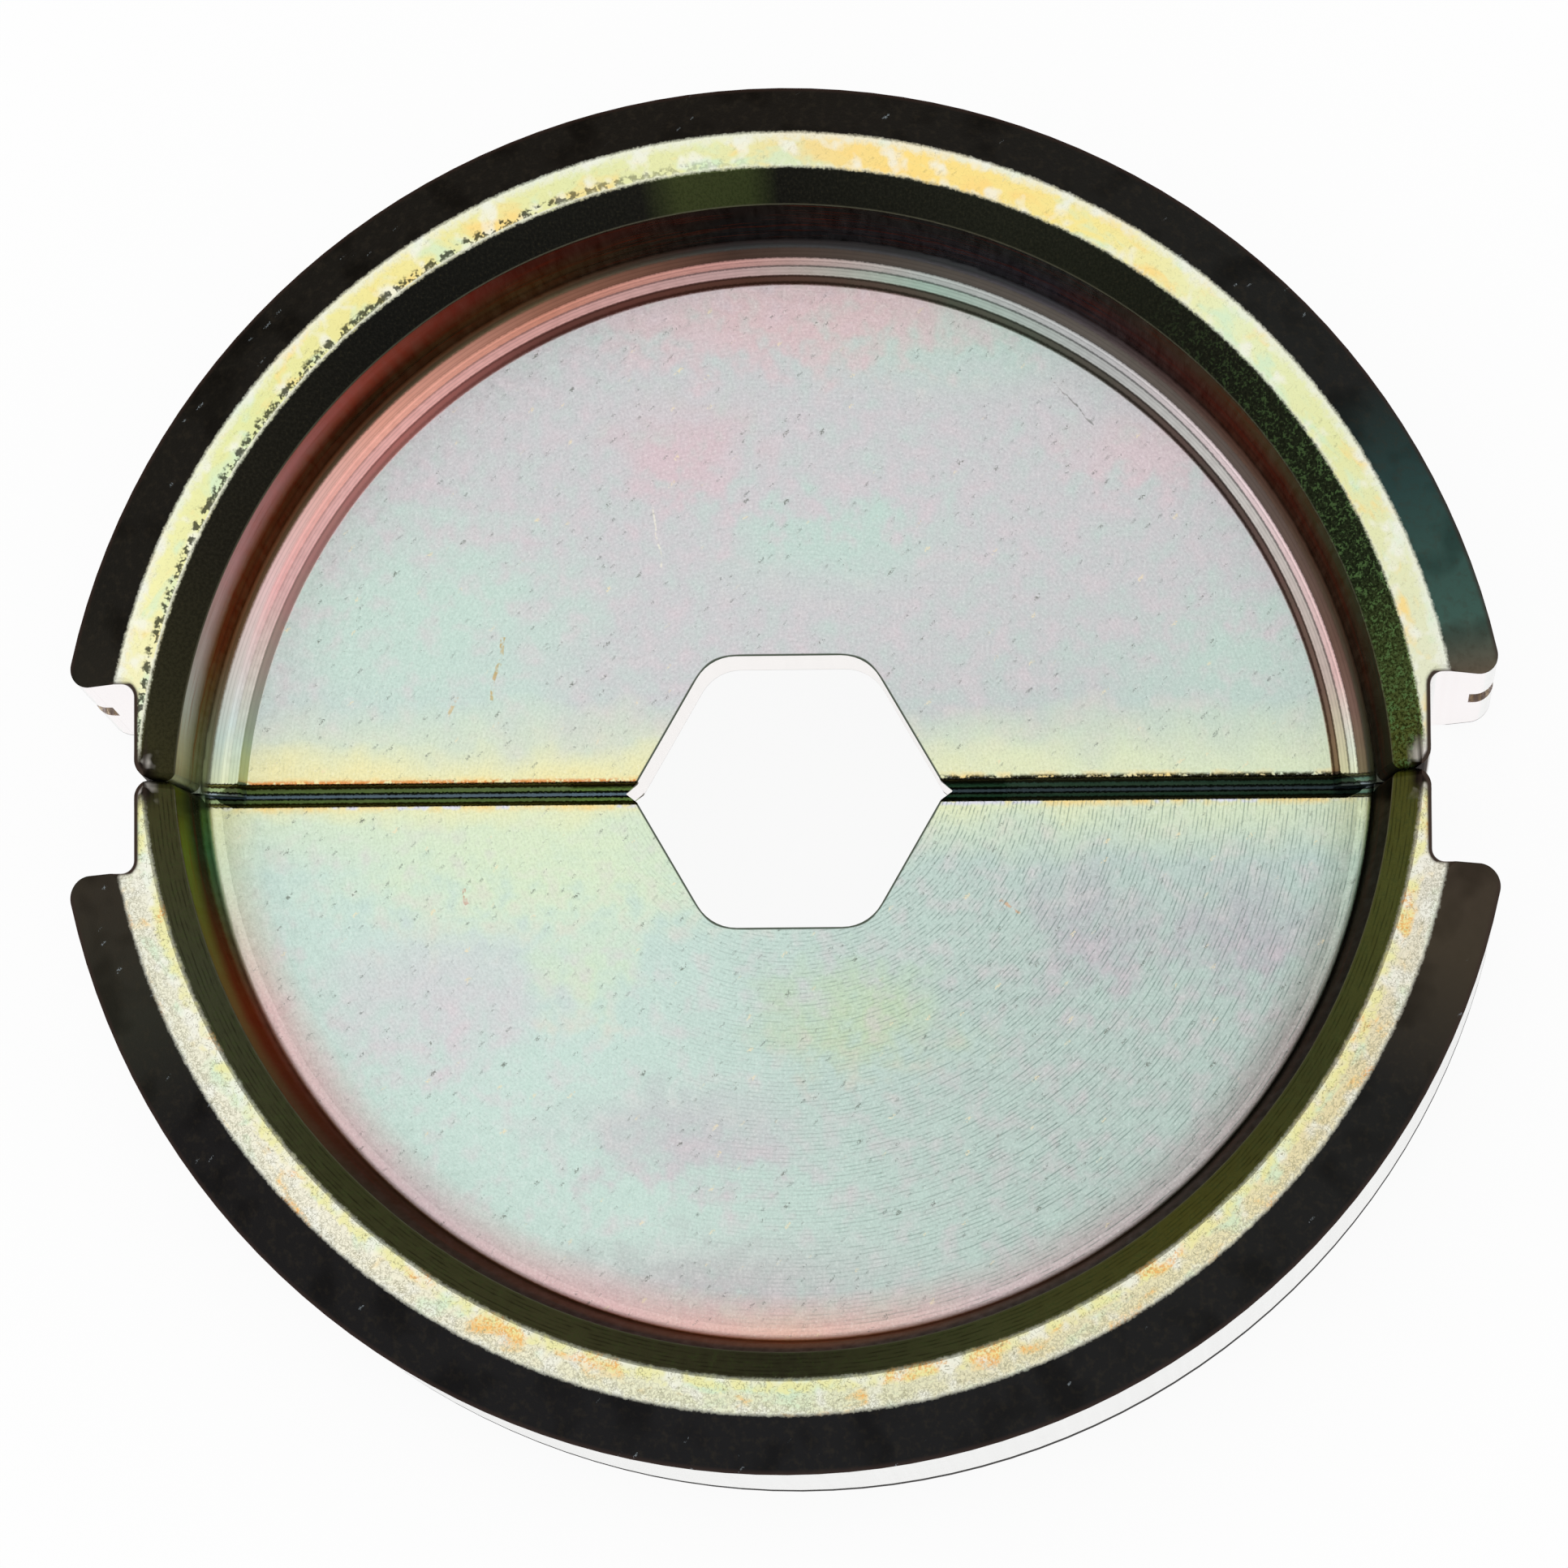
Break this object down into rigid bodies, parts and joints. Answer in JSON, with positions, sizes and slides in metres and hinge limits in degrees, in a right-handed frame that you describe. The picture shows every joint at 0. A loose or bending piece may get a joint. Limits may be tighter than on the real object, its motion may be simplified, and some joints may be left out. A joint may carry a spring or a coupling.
{
  "type": "crimping die",
  "caption": "Two-part crimping die with a hexagonal profile, in zinc-plated steel with an iridescent yellow finish.",
  "frame": {"origin": "on the die's crimping axis, in the plane of the back of the rim", "axes": "+Z along the crimping axis from the back to the front, +X along the joint between the halves, +Y from the lower half to the upper half"},
  "size_m": [0.044, 0.0428, 0.016],
  "materials": {
    "plated_steel": "yellow iridescent zinc plating over turned steel"
  },
  "bodies": {
    "root": {"upper_die": "plated_steel", "lower_die": "plated_steel"}
  },
  "joints": []
}
